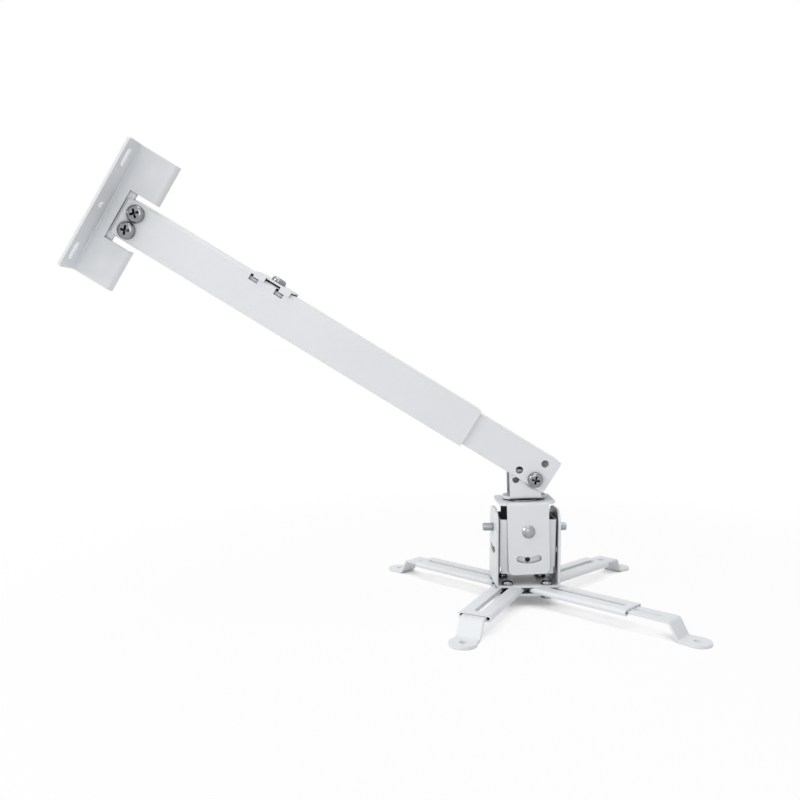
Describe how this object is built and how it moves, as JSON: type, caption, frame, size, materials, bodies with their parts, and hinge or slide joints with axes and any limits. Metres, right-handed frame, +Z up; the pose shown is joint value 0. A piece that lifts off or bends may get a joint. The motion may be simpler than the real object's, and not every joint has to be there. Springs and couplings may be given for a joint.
{
  "type": "projector ceiling mount",
  "caption": "Ceiling arm for a projector: slotted flange, telescopic square arm, tilting and rolling head, and adjustable legs with drilled feet.",
  "frame": {"origin": "middle hole of the ceiling flange, on the face that meets the ceiling", "axes": "+Z up with the mount standing on its feet, +X right along the arm's lean, towards the head, +Y to the back"},
  "size_m": [0.4143, 0.1854, 0.3126],
  "materials": {
    "white_paint": "satin white powder coat",
    "zinc_screws": "bright zinc plate",
    "plain_steel": "plain steel, lightly brushed"
  },
  "bodies": {
    "ceiling": {"ceiling_bracket": "white_paint", "outer_tube": "white_paint", "ceiling_screws": "zinc_screws", "ceiling_nuts": "zinc_screws", "lock_strap": "white_paint", "lock_screw": "zinc_screws"},
    "arm": {"inner_tube": "white_paint", "arm_pivot_bolt": "zinc_screws", "arm_pivot_nut": "zinc_screws", "arm_pivot_washers": "plain_steel"},
    "yoke": {"yoke": "white_paint"},
    "head": {"top_bracket": "white_paint", "swivel_bolt": "zinc_screws", "swivel_disc": "plain_steel", "swivel_washer": "plain_steel", "swivel_nut": "zinc_screws"},
    "ring": {"gimbal_ring": "white_paint", "roll_pins": "plain_steel", "tilt_pins": "plain_steel"},
    "base": {"base_bracket": "white_paint", "leg_plate": "white_paint", "leg_nuts": "zinc_screws"},
    "leg_screw_front_left": {"leg_screw_front_left": "zinc_screws"},
    "leg_front_left": {"leg_channel_front_left": "white_paint"},
    "foot_front_left": {"foot_strip_front_left": "white_paint"},
    "leg_screw_front_right": {"leg_screw_front_right": "zinc_screws"},
    "leg_front_right": {"leg_channel_front_right": "white_paint"},
    "foot_front_right": {"foot_strip_front_right": "white_paint"},
    "leg_screw_back_left": {"leg_screw_back_left": "zinc_screws"},
    "leg_back_left": {"leg_channel_back_left": "white_paint"},
    "foot_back_left": {"foot_strip_back_left": "white_paint"},
    "leg_screw_back_right": {"leg_screw_back_right": "zinc_screws"},
    "leg_back_right": {"leg_channel_back_right": "white_paint"},
    "foot_back_right": {"foot_strip_back_right": "white_paint"}
  },
  "joints": [
    {"name": "arm_extension", "type": "slide", "parent": "ceiling", "child": "arm", "axis": [0.8541, -0.023, -0.5197], "range_m": [0, 0.08]},
    {"name": "arm_pitch", "type": "hinge", "parent": "arm", "child": "yoke", "pos_m": [0.29155, 0.01649, -0.18315], "axis": [-0.0558, -0.9973, -0.0475], "range_deg": [-33.5, 56.5]},
    {"name": "head_swivel", "type": "hinge", "parent": "yoke", "child": "head", "pos_m": [0.28584, 0.01756, -0.19886], "axis": [-0.0401, -0.0453, 0.9982], "continuous": true},
    {"name": "head_roll", "type": "hinge", "parent": "head", "child": "ring", "pos_m": [0.28665, 0.01848, -0.21912], "axis": [0, 0.999, 0.0454], "range_deg": [-11.3, 6.7]},
    {"name": "head_tilt", "type": "hinge", "parent": "ring", "child": "base", "pos_m": [0.28665, 0.01848, -0.21912], "axis": [1, 0, 0], "range_deg": [-12.4, 17.6]},
    {"name": "front_left_leg_swing", "type": "hinge", "parent": "base", "child": "leg_screw_front_left", "pos_m": [0.27295, 0.00798, -0.25862], "axis": [0, 0, 1], "range_deg": [-15, 12]},
    {"name": "front_left_leg_reach", "type": "slide", "parent": "leg_screw_front_left", "child": "leg_front_left", "axis": [-0.4756, -0.8796, 0], "range_m": [0, 0.01]},
    {"name": "front_left_foot_reach", "type": "slide", "parent": "leg_front_left", "child": "foot_front_left", "axis": [-0.4756, -0.8796, 0], "range_m": [-0.001, 0.04]},
    {"name": "front_right_leg_swing", "type": "hinge", "parent": "base", "child": "leg_screw_front_right", "pos_m": [0.30035, 0.00798, -0.25862], "axis": [0, 0, 1], "range_deg": [-12, 15]},
    {"name": "front_right_leg_reach", "type": "slide", "parent": "leg_screw_front_right", "child": "leg_front_right", "axis": [0.6984, -0.7157, 0], "range_m": [0, 0.01]},
    {"name": "front_right_foot_reach", "type": "slide", "parent": "leg_front_right", "child": "foot_front_right", "axis": [0.6984, -0.7157, 0], "range_m": [-0.022, 0.02]},
    {"name": "back_left_leg_swing", "type": "hinge", "parent": "base", "child": "leg_screw_back_left", "pos_m": [0.27295, 0.02898, -0.25862], "axis": [0, 0, 1], "range_deg": [-12, 10]},
    {"name": "back_left_leg_reach", "type": "slide", "parent": "leg_screw_back_left", "child": "leg_back_left", "axis": [-0.7071, 0.7071, 0], "range_m": [-0.0008, 0.0005]},
    {"name": "back_left_foot_reach", "type": "slide", "parent": "leg_back_left", "child": "foot_back_left", "axis": [-0.7071, 0.7071, 0], "range_m": [-0.009, 0.02]},
    {"name": "back_right_leg_swing", "type": "hinge", "parent": "base", "child": "leg_screw_back_right", "pos_m": [0.30035, 0.02898, -0.25862], "axis": [0, 0, 1], "range_deg": [-12, 12]},
    {"name": "back_right_leg_reach", "type": "slide", "parent": "leg_screw_back_right", "child": "leg_back_right", "axis": [0.7547, 0.6561, 0], "range_m": [-0.0008, 0.0005]},
    {"name": "back_right_foot_reach", "type": "slide", "parent": "leg_back_right", "child": "foot_back_right", "axis": [0.7547, 0.6561, 0], "range_m": [-0.014, 0.02]}
  ]
}
